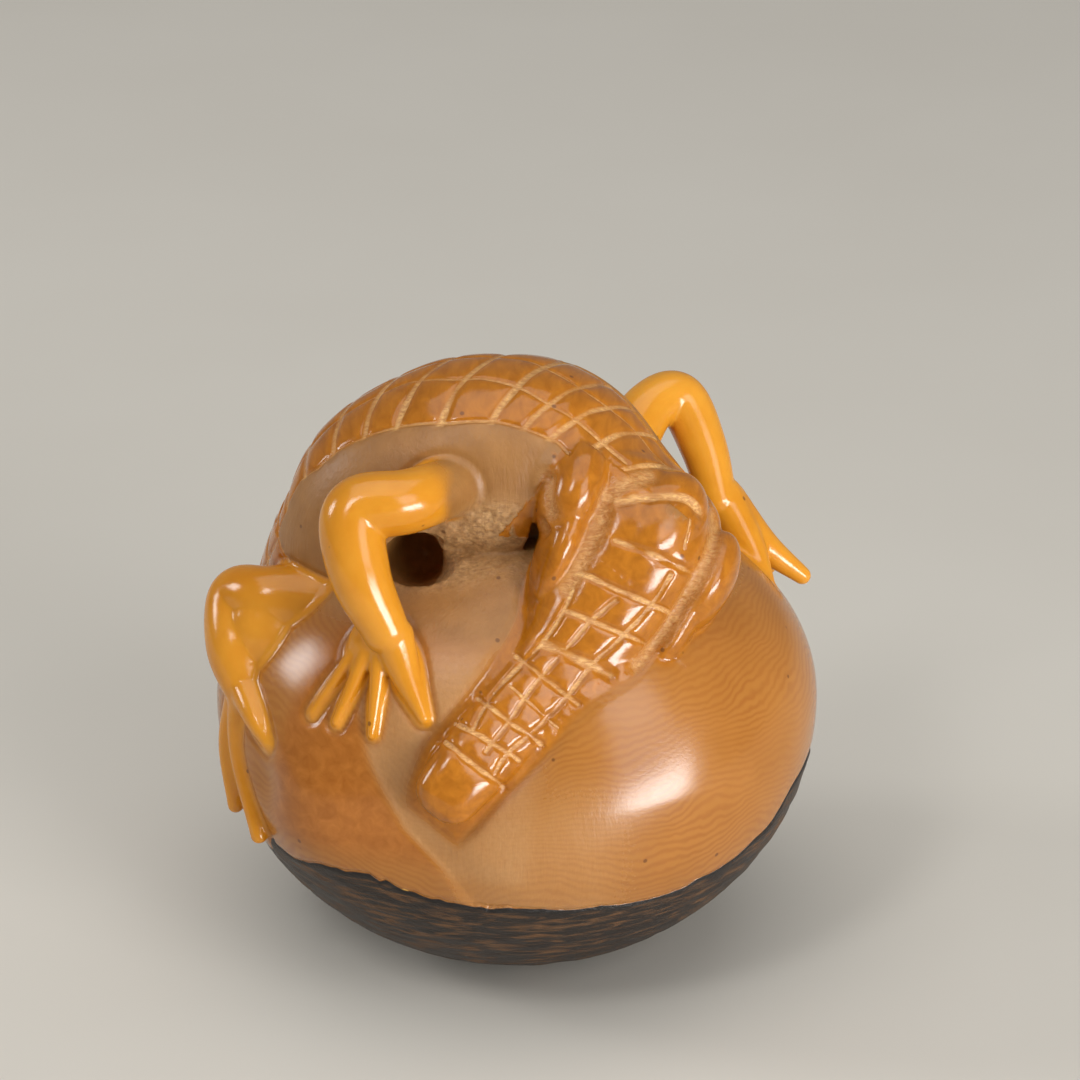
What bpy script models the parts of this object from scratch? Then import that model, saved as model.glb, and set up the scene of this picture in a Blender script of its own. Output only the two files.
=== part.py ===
"""A tagua nut carved as a caiman that lies curled over the top of the nut.

One solid. The nut stands on a small flat spot in its dark shell. The caiman's back follows
the nut's domed top from left to right, its head turns forward and lies down the front, and
its tail wraps round the back. Front is -Y, up is +Z, and the origin is on the table under
the middle of the nut. Sizes below are in millimetres; the scene is in metres.
"""

import math

import bmesh
import bpy
import numpy as np
from mathutils import Matrix, Vector

NAME = "caiman_carving"
MM = 0.001

# The nut: an ellipsoid about its girth, flatter above the girth where the top was carved down.
NUT_GIRTH_Z = 22.0
NUT_HALF_WIDTH = 25.6
NUT_FRONT_LOW = 24.0
NUT_FRONT_HIGH = 21.3
NUT_BACK = 22.5
NUT_BELOW_GIRTH = 23.0
NUT_ABOVE_GIRTH = 17.6
NUT_SEGMENTS = 180
NUT_RINGS = 110

# The dome that the caiman's back follows, part of the nut before it was carved.
DOME_CENTRE = Vector((-2.3, 1.0, 32.7))
DOME_RADIUS = 19.5

# Lofts
SECTION_POINTS = 28
STEPS_PER_SPAN = 6

# Meshing of the joined shape
VOXEL = 0.4
SMOOTH_PASSES = 2
KEPT_FACES = 0.059


def clear_scene():
    for old in list(bpy.data.objects):
        bpy.data.objects.remove(old)


def smoothstep(low, high, value):
    t = min(max((value - low) / (high - low), 0.0), 1.0)
    return t * t * (3.0 - 2.0 * t)


def spline(rows, steps):
    """Catmull-Rom through the rows of numbers, with this many steps for each span."""
    rows = np.asarray(rows, float)
    padded = np.vstack([2 * rows[0] - rows[1], rows, 2 * rows[-1] - rows[-2]])
    made = []
    for i in range(1, len(padded) - 2):
        before, here, after, beyond = padded[i - 1 : i + 3]
        for t in np.linspace(0, 1, steps, endpoint=False):
            made.append(
                0.5
                * (
                    2 * here
                    + (after - before) * t
                    + (2 * before - 5 * here + 4 * after - beyond) * t**2
                    + (3 * here - before - 3 * after + beyond) * t**3
                )
            )
    made.append(rows[-1])
    return np.array(made)


# --------------------------------------------------------------------------- nut

# Where the carver's gouge took more away, or left more: place, reach and depth in mm.
GOUGES = {
    "scoop_beside_snout": ((-9.5, -21.0, 20.0), 6.0, -1.3),
    "bed_of_snout": ((-2.0, -21.0, 25.0), 6.0, -1.0),
    "left_front_bulge": ((-17.5, -17.5, 19.0), 5.5, 0.9),
    "groove_below_foot": ((-21.5, -14.0, 20.5), 2.2, -0.7),
}


def nut(shape):
    """The nut's lower body, a sphere whose points are moved to the nut's own radii and gouges."""
    made = bmesh.ops.create_uvsphere(
        shape, u_segments=NUT_SEGMENTS, v_segments=NUT_RINGS, radius=1.0
    )
    for vertex in made["verts"]:
        x, y, z = vertex.co
        high = smoothstep(-0.35, 0.35, z)
        front = NUT_FRONT_LOW + (NUT_FRONT_HIGH - NUT_FRONT_LOW) * high
        place = Vector(
            (
                NUT_HALF_WIDTH * x,
                (front if y < 0 else NUT_BACK) * y,
                NUT_GIRTH_Z + (NUT_ABOVE_GIRTH if z > 0 else NUT_BELOW_GIRTH) * z,
            )
        )
        outward = Vector((x, y, z))
        for centre, reach, depth in GOUGES.values():
            away = (place - Vector(centre)).length / reach
            place += outward * depth * math.exp(-away * away)
        vertex.co = place


# ------------------------------------------------------------------- caiman's trunk


def on_dome(angle, sunk=0.0):
    """Dorsal point and outward direction on the dome, at this angle from the left."""
    a = math.radians(angle)
    out = Vector((-math.cos(a), 0.0, math.sin(a)))
    return DOME_CENTRE + out * (DOME_RADIUS - sunk), out


HEAD_AXIS = Vector((-0.61, -0.48, -0.63)).normalized()
HEAD_UP = Vector((0.204, -0.863, 0.461)).normalized()
FOREHEAD = Vector((11.3, -11.6, 41.9))


HEAD_SIDE = HEAD_UP.cross(HEAD_AXIS).normalized()
LEFT_LOBE_AXIS = HEAD_AXIS + HEAD_SIDE * 0.30
RIGHT_LOBE_AXIS = HEAD_AXIS + HEAD_SIDE * 0.16


def head_point(along, across, drop):
    """A place on the head: along it from the forehead, across it, and sunk below its back."""
    return FOREHEAD + HEAD_AXIS * along + HEAD_SIDE * across - HEAD_UP * drop


def on_head(along, across, drop):
    return head_point(along, across, drop), HEAD_UP


def trunk_stations():
    """(dorsal point, dorsal direction, half width, thickness, squareness), tail tip to snout tip."""
    tail = [
        ((17.5, 15.5, 17.0), (0.65, 0.72, 0.05), 0.9, 2.0, 2.0),
        ((9.5, 22.0, 15.5), (0.30, 0.93, -0.05), 2.0, 4.0, 2.0),
        ((-2.0, 24.6, 16.0), (-0.05, 1.0, 0.0), 3.0, 5.5, 2.0),
        ((-12.0, 22.6, 19.0), (-0.45, 0.88, 0.0), 4.0, 7.0, 2.1),
        ((-19.8, 16.6, 23.6), (-0.78, 0.60, 0.10), 5.0, 9.0, 2.1),
        ((-22.0, 9.4, 28.8), (-0.92, 0.36, 0.12), 6.2, 11.0, 2.1),
    ]
    back = [
        (*on_dome(18, 0.9), 7.0, 12.5, 2.1),
        (*on_dome(45, 0.3), 8.2, 14.0, 2.1),
        (*on_dome(75, 0.2), 8.9, 17.0, 2.15),
        (*on_dome(98), 9.1, 18.0, 2.2),
        (*on_dome(116), 8.8, 15.0, 2.25),
    ]
    neck = [
        ((11.0, -4.3, 45.6), (0.66, -0.30, 0.66), 8.4, 12.0, 2.3),
        ((12.3, -8.6, 43.8), (0.45, -0.68, 0.55), 7.4, 11.0, 2.3),
    ]
    head = [
        (*on_head(0.0, -0.1, 0.0), 6.2, 11.0, 2.4),
        (*on_head(4.5, 0.3, 0.5), 6.0, 10.0, 2.5),
        (*on_head(8.9, 0.9, 1.0), 5.5, 8.8, 2.7),
        (*on_head(11.5, 1.0, 1.2), 4.9, 8.0, 2.8),
        (*on_head(15.0, 0.7, 1.2), 4.2, 7.0, 2.9),
        (*on_head(19.5, 0.2, 1.0), 3.4, 6.0, 3.0),
        (*on_head(24.0, -0.1, 0.8), 3.0, 5.0, 3.0),
        (*on_head(26.2, -0.1, 1.0), 2.8, 4.4, 2.8),
    ]
    return tail + back + neck + head


def trunk_path():
    """The stations' numbers, smoothed: dorsal point, direction, half width, thickness, squareness."""
    rows = [[*p, *d, w, t, q] for p, d, w, t, q in trunk_stations()]
    return spline(rows, STEPS_PER_SPAN)


def section(width, thickness, squareness):
    """A superellipse ring, as (sideways, upward) from the middle of the section."""
    ring = []
    for i in range(SECTION_POINTS):
        a = 2 * math.pi * i / SECTION_POINTS
        c, s = math.cos(a), math.sin(a)
        side = math.copysign(abs(c) ** (2 / squareness), c) * width
        up = math.copysign(abs(s) ** (2 / squareness), s) * thickness / 2
        ring.append((side, up))
    return ring


def trunk(shape):
    """Tail, body, neck and head as one loft, rounded off at both tips."""
    path = trunk_path()
    dorsal, normal = path[:, 0:3], path[:, 3:6]
    normal /= np.linalg.norm(normal, axis=1)[:, None]
    centre = dorsal - normal * (path[:, 7] / 2)[:, None]
    rings = []
    for i, row in enumerate(path):
        ahead = Vector(dorsal[min(i + 1, len(path) - 1)] - dorsal[max(i - 1, 0)])
        up = Vector(normal[i])
        up = (up - ahead.normalized() * up.dot(ahead.normalized())).normalized()
        across = ahead.cross(up).normalized()
        rings.append((Vector(centre[i]), ahead.normalized(), up, across, row[6:9]))
    tips = []
    for end, sign in ((0, -1), (-1, 1)):
        place, ahead, up, across, (width, thickness, squareness) = rings[end]
        cap = []
        for lift, share in ((0.35, 0.93), (0.62, 0.75), (0.80, 0.45)):
            cap.append(
                (
                    place + ahead * sign * lift * width,
                    ahead,
                    up,
                    across,
                    (width * share, thickness * share, squareness),
                )
            )
        tips.append(cap)
    rings = tips[0][::-1] + rings + tips[1]
    loops = []
    for place, _, up, across, (width, thickness, squareness) in rings:
        loops.append(
            [
                shape.verts.new(place + across * side + up * rise)
                for side, rise in section(width, thickness, squareness)
            ]
        )
    for loop, after in zip(loops, loops[1:]):
        for i in range(SECTION_POINTS):
            j = (i + 1) % SECTION_POINTS
            shape.faces.new((loop[i], loop[j], after[j], after[i]))
    shape.faces.new(loops[0][::-1])
    shape.faces.new(loops[-1])


def ellipsoid(shape, centre, radii, forward=(1, 0, 0), up=(0, 0, 1)):
    """A ball stretched to three radii, its first along forward and its third along up."""
    x = Vector(forward).normalized()
    z = Vector(up)
    z = (z - x * z.dot(x)).normalized()
    y = z.cross(x)
    turn = Matrix((x, y, z)).transposed().to_4x4()
    size = Matrix.Diagonal((*radii, 1.0))
    bmesh.ops.create_uvsphere(
        shape,
        u_segments=24,
        v_segments=16,
        radius=1.0,
        matrix=Matrix.Translation(centre) @ turn @ size,
    )


def head_details(shape):
    """The forehead's pillow, the two long lobes of the eyes and the web under the snout."""
    ellipsoid(shape, head_point(-0.6, 0.0, 4.2), (6.4, 4.2, 4.6), HEAD_AXIS, HEAD_UP)
    ellipsoid(shape, head_point(0.6, -7.2, 4.2), (4.6, 2.6, 3.8), LEFT_LOBE_AXIS, HEAD_UP)
    ellipsoid(shape, head_point(4.0, -5.6, 4.2), (6.0, 1.7, 3.4), LEFT_LOBE_AXIS, HEAD_UP)
    ellipsoid(shape, head_point(-0.6, 6.0, 4.6), (4.8, 2.5, 3.8), RIGHT_LOBE_AXIS, HEAD_UP)
    ellipsoid(shape, head_point(3.2, 6.3, 4.8), (6.0, 1.7, 3.4), RIGHT_LOBE_AXIS, HEAD_UP)
    ellipsoid(shape, head_point(10.0, 2.2, 6.4), (10.0, 3.8, 4.6), HEAD_AXIS, HEAD_UP)
    ellipsoid(shape, head_point(17.5, 0.2, 6.0), (8.6, 2.5, 3.2), HEAD_AXIS, HEAD_UP)


# --------------------------------------------------------------------------- limbs

# Each limb is (point, radius) from the trunk to the wrist or ankle, then toes from there.
RIGHT_ARM = [((-2.6, -6.6, 44.6), 2.9), ((-8.6, -10.4, 44.9), 2.65), ((-13.0, -11.4, 44.3), 2.75),
             ((-12.7, -13.6, 40.0), 2.55), ((-10.6, -15.0, 35.4), 1.95)]
RIGHT_FINGERS = [
    [((-10.0, -14.9, 34.8), 1.75), ((-8.9, -16.3, 31.8), 1.3), ((-7.5, -18.2, 29.0), 0.7)],
    [((-11.0, -14.5, 34.0), 1.0), ((-11.4, -16.5, 30.4), 0.75), ((-11.8, -18.0, 27.3), 0.55)],
    [((-11.8, -14.1, 34.0), 0.95), ((-13.4, -15.4, 30.4), 0.7), ((-14.8, -16.3, 27.6), 0.55)],
    [((-12.4, -13.6, 34.0), 0.9), ((-14.7, -14.4, 30.6), 0.65), ((-16.8, -14.8, 27.6), 0.5)],
]
PALM = ((-11.4, -13.3, 33.2), (2.4, 1.9, 2.6))
LEFT_ARM = [((9.0, 8.0, 41.0), 2.7), ((11.4, 11.8, 43.4), 2.3), ((14.0, 13.4, 43.4), 2.3),
            ((16.0, 11.2, 40.0), 2.05), ((17.2, 8.8, 36.2), 1.7)]
LEFT_FINGERS = [
    [((17.6, 9.4, 36.0), 1.9), ((19.8, 7.0, 32.6), 1.5), ((21.6, 4.4, 29.4), 0.7)],
    [((18.0, 9.6, 35.6), 1.8), ((21.2, 8.4, 32.0), 1.35), ((24.6, 8.0, 29.2), 0.8)],
    [((17.8, 10.0, 35.6), 1.7), ((20.0, 11.4, 31.8), 1.3), ((22.0, 12.2, 28.0), 0.6)],
    [((17.4, 10.2, 35.6), 1.5), ((18.0, 13.4, 32.4), 1.1), ((18.6, 15.2, 29.0), 0.6)],
]
RIGHT_LEG = [((-15.0, -3.5, 32.0), 3.8), ((-20.6, -4.2, 33.0), 2.8), ((-23.5, -2.6, 32.2), 2.5),
             ((-23.3, -5.4, 28.8), 2.7), ((-22.5, -8.0, 25.4), 1.6)]
RIGHT_THIGH = ((-21.0, -4.6, 29.8), (3.6, 3.4, 4.6))
RIGHT_TOES = [
    [((-22.6, -8.2, 26.4), 1.4), ((-21.6, -10.8, 25.2), 1.1), ((-20.5, -12.6, 23.8), 0.65)],
    [((-22.9, -7.8, 25.6), 1.3), ((-23.1, -8.9, 21.0), 1.0), ((-21.6, -12.0, 14.6), 0.7)],
    [((-23.2, -6.6, 25.2), 1.3), ((-24.2, -6.4, 20.4), 1.0), ((-23.8, -7.6, 15.2), 0.7)],
]
LEFT_LEG = [((-14.0, 8.0, 34.0), 3.6), ((-12.0, 14.6, 35.4), 2.8), ((-9.6, 17.6, 33.6), 2.3),
            ((-8.6, 19.0, 29.6), 2.3), ((-7.4, 20.4, 26.2), 1.6)]
LEFT_TOES = [
    [((-7.4, 20.2, 26.4), 1.4), ((-5.0, 20.8, 24.8), 1.0), ((-2.4, 21.4, 23.4), 0.5)],
    [((-7.4, 20.2, 26.0), 1.4), ((-6.6, 21.4, 23.6), 1.0), ((-5.8, 22.2, 21.6), 0.5)],
    [((-7.8, 20.2, 26.0), 1.3), ((-8.8, 21.4, 24.0), 1.0), ((-9.4, 22.2, 22.4), 0.5)],
]
LIMBS = [RIGHT_ARM, LEFT_ARM, RIGHT_LEG, LEFT_LEG]
DIGITS = RIGHT_FINGERS + LEFT_FINGERS + RIGHT_TOES + LEFT_TOES


def limb_mesh(stations):
    """A rounded tube through the stations, from a curve with a radius at each point."""
    rows = spline([[*point, radius] for point, radius in stations], STEPS_PER_SPAN)
    curve = bpy.data.curves.new("limb", "CURVE")
    curve.dimensions = "3D"
    curve.bevel_depth = 1.0
    curve.bevel_resolution = 4
    curve.use_fill_caps = True
    line = curve.splines.new("POLY")
    line.points.add(len(rows) - 1)
    for point, (x, y, z, radius) in zip(line.points, rows):
        point.co = (x, y, z, 1.0)
        point.radius = radius
    guide = bpy.data.objects.new("limb", curve)
    bpy.context.scene.collection.objects.link(guide)
    graph = bpy.context.evaluated_depsgraph_get()
    mesh = bpy.data.meshes.new_from_object(guide.evaluated_get(graph))
    bpy.data.objects.remove(guide)
    return mesh, rows


def limbs(shape):
    for stations in LIMBS + DIGITS:
        mesh, rows = limb_mesh(stations)
        shape.from_mesh(mesh)
        bpy.data.meshes.remove(mesh)
        for x, y, z, radius in (rows[0], rows[-1]):
            ellipsoid(shape, (x, y, z), (radius,) * 3)
    for centre, radii in (PALM, RIGHT_THIGH):
        ellipsoid(shape, centre, radii)


# ---------------------------------------------------------------------- one solid

# The hollow cut between the flank and the nut, deepest behind the bent arm.
HOLLOW = [((-7.6, 0.4, 35.0), 0.3), ((-8.0, -1.4, 35.8), 1.9), ((-8.4, -4.4, 37.2), 2.5),
          ((-8.2, -7.2, 38.0), 2.5), ((-6.0, -8.8, 38.9), 2.0), ((-2.4, -9.6, 39.6), 1.6),
          ((0.8, -10.2, 39.4), 1.1), ((3.2, -10.8, 38.6), 0.3)]


def cutter(name, build):
    shape = bmesh.new()
    build(shape)
    bmesh.ops.recalc_face_normals(shape, faces=shape.faces)
    mesh = bpy.data.meshes.new(name)
    bmesh.ops.scale(shape, vec=(MM,) * 3, verts=shape.verts)
    shape.to_mesh(mesh)
    shape.free()
    made = bpy.data.objects.new(name, mesh)
    made.hide_render = True
    made.display_type = "WIRE"
    cutters.objects.link(made)
    return made


def below_table(shape):
    bmesh.ops.create_cube(shape, size=60.0, matrix=Matrix.Translation((0, 0, -30.0)))


def hollow_by_the_flank(shape):
    mesh, _ = limb_mesh(HOLLOW)
    shape.from_mesh(mesh)
    bmesh.ops.remove_doubles(shape, verts=shape.verts, dist=0.001)
    bpy.data.meshes.remove(mesh)


def tagua():
    material = bpy.data.materials.new("tagua")
    material.use_nodes = True
    shader = material.node_tree.nodes["Principled BSDF"]
    shader.inputs["Base Color"].default_value = (0.62, 0.28, 0.06, 1.0)
    shader.inputs["Roughness"].default_value = 0.25
    shader.inputs["Metallic"].default_value = 0.0
    return material


def carving():
    shape = bmesh.new()
    nut(shape)
    trunk(shape)
    head_details(shape)
    limbs(shape)
    bmesh.ops.scale(shape, vec=(MM,) * 3, verts=shape.verts)
    bmesh.ops.recalc_face_normals(shape, faces=shape.faces)
    mesh = bpy.data.meshes.new(NAME)
    shape.to_mesh(mesh)
    shape.free()
    made = bpy.data.objects.new(NAME, mesh)
    collection.objects.link(made)
    made.data.materials.append(tagua())

    join = made.modifiers.new("join", "REMESH")
    join.mode = "VOXEL"
    join.voxel_size = VOXEL * MM
    hollow = made.modifiers.new("hollow", "BOOLEAN")
    hollow.operation = "DIFFERENCE"
    hollow.object = cutter("hollow", hollow_by_the_flank)
    even = made.modifiers.new("even", "REMESH")
    even.mode = "VOXEL"
    even.voxel_size = VOXEL * MM
    soften = made.modifiers.new("soften", "SMOOTH")
    soften.factor = 0.5
    soften.iterations = SMOOTH_PASSES
    thin = made.modifiers.new("thin", "DECIMATE")
    thin.ratio = KEPT_FACES
    cut = made.modifiers.new("flat", "BOOLEAN")
    cut.operation = "DIFFERENCE"
    cut.object = cutter("table", below_table)
    return made


clear_scene()
collection = bpy.data.collections.new(NAME)
cutters = bpy.data.collections.new("cutters")
for folder in (collection, cutters):
    bpy.context.scene.collection.children.link(folder)
carving()
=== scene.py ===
"""A tagua nut carved as a caiman curled over its top, in full detail.

Nut and caiman are one carved thing, so they are one mesh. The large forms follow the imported
solid's own stations. Over them go the carver's marks: scored plates on the back, tail and
head, eye sockets, the edges cut round fingers and snout, the rough hollow and the husk's rim.

Lengths are millimetres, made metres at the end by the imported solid's own width. Front is -Y.
"""

import math

import bpy
import numpy as np
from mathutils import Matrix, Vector


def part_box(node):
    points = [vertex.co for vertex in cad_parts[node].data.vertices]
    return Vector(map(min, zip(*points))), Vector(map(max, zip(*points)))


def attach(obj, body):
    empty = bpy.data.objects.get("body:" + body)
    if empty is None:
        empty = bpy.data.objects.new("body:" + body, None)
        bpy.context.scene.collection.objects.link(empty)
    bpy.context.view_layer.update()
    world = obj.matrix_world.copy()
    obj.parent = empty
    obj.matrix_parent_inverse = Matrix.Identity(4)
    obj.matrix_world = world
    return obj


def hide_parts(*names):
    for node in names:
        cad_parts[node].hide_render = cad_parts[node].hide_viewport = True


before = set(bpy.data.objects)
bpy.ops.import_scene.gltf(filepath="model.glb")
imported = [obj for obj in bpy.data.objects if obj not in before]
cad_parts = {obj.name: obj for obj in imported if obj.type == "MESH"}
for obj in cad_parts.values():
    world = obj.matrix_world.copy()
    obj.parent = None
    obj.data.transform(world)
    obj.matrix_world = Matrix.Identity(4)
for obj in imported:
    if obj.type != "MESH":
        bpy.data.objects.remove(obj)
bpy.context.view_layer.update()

NODE = "caiman_carving"
SOLID_WIDTH = 51.8
low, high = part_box(NODE)
MM = (high[0] - low[0]) / SOLID_WIDTH

# The nut: an ellipsoid about its girth, flatter above the girth where the top was carved down.
NUT_GIRTH_Z = 22.0
NUT_HALF_WIDTH = 25.6
NUT_FRONT_LOW = 24.0
NUT_FRONT_HIGH = 21.3
NUT_BACK = 22.5
NUT_BELOW_GIRTH = 23.0
NUT_ABOVE_GIRTH = 17.6

# The dome under the caiman's back, and the ring that its plates' lengthwise angles turn about.
DOME_CENTRE = np.array((-2.3, 1.0, 32.7))
DOME_RADIUS = 19.5
BACK_RING = 10.5

# Fineness of the skins, of the joined mesh and of the finished one.
NUT_GRID = (220, 360)
BALL_GRID = (40, 64)
RING_POINTS = 72
SPAN_STEPS = 16
VOXEL = 0.14
SOFTENING = 6
TRIANGLES = 190_000


def unit(vectors):
    vectors = np.asarray(vectors, float)
    return vectors / np.linalg.norm(vectors, axis=-1, keepdims=True)


def smoothstep(low_edge, high_edge, value):
    t = np.clip((value - low_edge) / (high_edge - low_edge), 0.0, 1.0)
    return t * t * (3.0 - 2.0 * t)


def bell(distance, width):
    """One at no distance, falling to about a third at half the width."""
    return np.exp(-((2.0 * distance / width) ** 2))


def spline(rows, steps):
    """Catmull-Rom through the rows of numbers, with this many steps for each span."""
    rows = np.asarray(rows, float)
    padded = np.vstack([2 * rows[0] - rows[1], rows, 2 * rows[-1] - rows[-2]])
    made = []
    for before, here, after, beyond in zip(padded, padded[1:], padded[2:], padded[3:]):
        for t in np.linspace(0, 1, steps, endpoint=False):
            made.append(
                0.5
                * (
                    2 * here
                    + (after - before) * t
                    + (2 * before - 5 * here + 4 * after - beyond) * t**2
                    + (3 * here - before - 3 * after + beyond) * t**3
                )
            )
    made.append(rows[-1])
    return np.array(made)


LATTICE = np.random.default_rng(11).random((32, 32, 32))


def noise(points, size):
    """Smooth random numbers from -1 to 1, changing over this many millimetres."""
    cell = np.floor(points / size).astype(int)
    share = points / size - cell
    share = share * share * (3 - 2 * share)
    total = np.zeros(len(points))
    for corner in np.ndindex(2, 2, 2):
        weight = np.prod(np.where(corner, share, 1 - share), axis=1)
        i, j, k = ((cell + corner) % 32).T
        total += weight * LATTICE[i, j, k]
    return 2 * total - 1


# --------------------------------------------------------------------------- skins
# A skin is a grid of points (rows, columns, 3) that closes on itself along its columns and
# shrinks to a point at its first and last row.


def ball(grid=BALL_GRID):
    polar = np.linspace(0, math.pi, grid[0])[:, None]
    turn = np.linspace(0, 2 * math.pi, grid[1], endpoint=False)[None, :]
    return np.stack(
        [np.sin(polar) * np.cos(turn), np.sin(polar) * np.sin(turn), np.cos(polar) + 0 * turn],
        axis=-1,
    )


def ellipsoid(centre, radii, forward=(1, 0, 0), up=(0, 0, 1)):
    """A ball stretched to three radii, its first along forward and its third along up."""
    x = unit(forward)
    z = np.asarray(up, float)
    z = unit(z - x * (z @ x))
    frame_rows = np.array((x, np.cross(z, x), z))
    return np.asarray(centre) + (ball() * np.asarray(radii)) @ frame_rows


# Where the carver's gouge took more of the nut away, or left more: place, reach and depth.
GOUGES = {
    "scoop_beside_snout": ((-9.5, -21.0, 20.0), 6.0, -1.3),
    "bed_of_snout": ((-2.0, -21.0, 25.0), 6.0, -1.0),
    "left_front_bulge": ((-17.5, -17.5, 19.0), 5.5, 0.9),
    "groove_below_foot": ((-21.5, -14.0, 20.5), 2.2, -0.7),
}


def nut():
    outward = ball(NUT_GRID)
    x, y, z = np.moveaxis(outward, -1, 0)
    front = NUT_FRONT_LOW + (NUT_FRONT_HIGH - NUT_FRONT_LOW) * smoothstep(-0.35, 0.35, z)
    place = np.stack(
        [
            NUT_HALF_WIDTH * x,
            np.where(y < 0, front, NUT_BACK) * y,
            NUT_GIRTH_Z + np.where(z > 0, NUT_ABOVE_GIRTH, NUT_BELOW_GIRTH) * z,
        ],
        axis=-1,
    )
    for centre, reach, depth in GOUGES.values():
        away = np.linalg.norm(place - np.array(centre), axis=-1, keepdims=True) / reach
        place = place + outward * depth * np.exp(-away * away)
    return place


# ------------------------------------------------------------------- caiman's trunk


def on_dome(angle, sunk=0.0):
    """Dorsal point and outward direction on the dome, at this angle from the left."""
    a = math.radians(angle)
    out = np.array((-math.cos(a), 0.0, math.sin(a)))
    return DOME_CENTRE + out * (DOME_RADIUS - sunk), out


HEAD_AXIS = unit((-0.61, -0.48, -0.63))
HEAD_UP = unit((0.204, -0.863, 0.461))
HEAD_SIDE = unit(np.cross(HEAD_UP, HEAD_AXIS))
LEFT_LOBE_AXIS = HEAD_AXIS + HEAD_SIDE * 0.30
RIGHT_LOBE_AXIS = HEAD_AXIS + HEAD_SIDE * 0.16
FOREHEAD = np.array((11.3, -11.6, 41.9))


def head_point(along, across, drop):
    """A place on the head: along it from the forehead, across it, and sunk below its back."""
    return FOREHEAD + HEAD_AXIS * along + HEAD_SIDE * across - HEAD_UP * drop


def on_head(along, across, drop):
    return head_point(along, across, drop), HEAD_UP


# (dorsal point, dorsal direction, half width, thickness, squareness), tail tip to snout tip
TRUNK = [
    ((17.5, 15.5, 17.0), (0.65, 0.72, 0.05), 0.9, 2.0, 2.0),
    ((9.5, 22.0, 15.5), (0.30, 0.93, -0.05), 2.0, 4.0, 2.0),
    ((-2.0, 24.6, 16.0), (-0.05, 1.0, 0.0), 3.0, 5.5, 2.0),
    ((-12.0, 22.6, 19.0), (-0.45, 0.88, 0.0), 4.0, 7.0, 2.1),
    ((-19.8, 16.6, 23.6), (-0.78, 0.60, 0.10), 5.0, 9.0, 2.1),
    ((-22.0, 9.4, 28.8), (-0.92, 0.36, 0.12), 6.2, 11.0, 2.1),
    (*on_dome(18, 0.9), 7.0, 12.5, 2.1),
    (*on_dome(45, 0.3), 8.2, 14.0, 2.1),
    (*on_dome(75, 0.2), 8.9, 17.0, 2.15),
    (*on_dome(98), 9.1, 18.0, 2.2),
    (*on_dome(116), 8.8, 15.0, 2.25),
    ((11.0, -4.3, 45.6), (0.66, -0.30, 0.66), 8.4, 12.0, 2.3),
    ((12.3, -8.6, 43.8), (0.45, -0.68, 0.55), 7.4, 11.0, 2.3),
    (*on_head(0.0, -0.1, 0.0), 6.2, 11.0, 2.4),
    (*on_head(4.5, 0.3, 0.5), 6.0, 10.0, 2.5),
    (*on_head(8.9, 0.9, 1.0), 5.5, 8.8, 2.7),
    (*on_head(11.5, 1.0, 1.2), 4.9, 8.0, 2.8),
    (*on_head(15.0, 0.7, 1.2), 4.2, 7.0, 2.9),
    (*on_head(19.5, 0.2, 1.0), 3.4, 6.0, 3.0),
    (*on_head(24.0, -0.1, 0.8), 3.0, 5.0, 3.0),
    (*on_head(26.2, -0.1, 1.0), 2.8, 4.4, 2.8),
]
HIP_STATION = 6

# The caps on the trunk's two tips: how far out, and how much of the last section's size. Past
# the tips, the trunk's skin counts as ending after this reach.
TIP_ROUNDING = ((0.35, 0.93), (0.62, 0.75), (0.80, 0.45), (0.86, 0.0))
TIP_REACH = 2.4


class Trunk:
    """The trunk's smoothed path: middles, their frames, sizes and distance along."""

    def __init__(self):
        path = spline([[*p, *d, w, t, q] for p, d, w, t, q in TRUNK], SPAN_STEPS)
        dorsal, normal = path[:, 0:3], unit(path[:, 3:6])
        self.size = path[:, 6:9]
        self.middle = dorsal - normal * (path[:, 7:8] / 2)
        first, last = dorsal[1] - dorsal[0], dorsal[-1] - dorsal[-2]
        between = dorsal[2:] - dorsal[:-2]
        self.ahead = unit(np.vstack([first, between, last]))
        self.up = unit(normal - self.ahead * np.sum(normal * self.ahead, axis=1)[:, None])
        self.across = np.cross(self.ahead, self.up)
        steps = np.linalg.norm(np.diff(dorsal, axis=0), axis=1)
        self.length = np.concatenate([[0.0], np.cumsum(steps)])
        self.hip = self.length[HIP_STATION * SPAN_STEPS]

    def ring(self, row, shift=0.0, share=1.0):
        """The superellipse round one row, shifted ahead and made smaller."""
        width, thickness, squareness = self.size[row]
        turn = np.linspace(0, 2 * math.pi, RING_POINTS, endpoint=False)[:, None]
        c, s = np.cos(turn), np.sin(turn)
        side = np.sign(c) * np.abs(c) ** (2 / squareness) * width * share
        rise = np.sign(s) * np.abs(s) ** (2 / squareness) * thickness / 2 * share
        place = self.middle[row] + self.ahead[row] * shift
        return place + self.across[row] * side + self.up[row] * rise

    def skin(self):
        last = len(self.middle) - 1
        tail = [self.ring(0, -lift * self.size[0, 0], share) for lift, share in TIP_ROUNDING]
        snout = [self.ring(last, lift * self.size[last, 0], share) for lift, share in TIP_ROUNDING]
        return np.array(tail[::-1] + [self.ring(row) for row in range(last + 1)] + snout)


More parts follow.
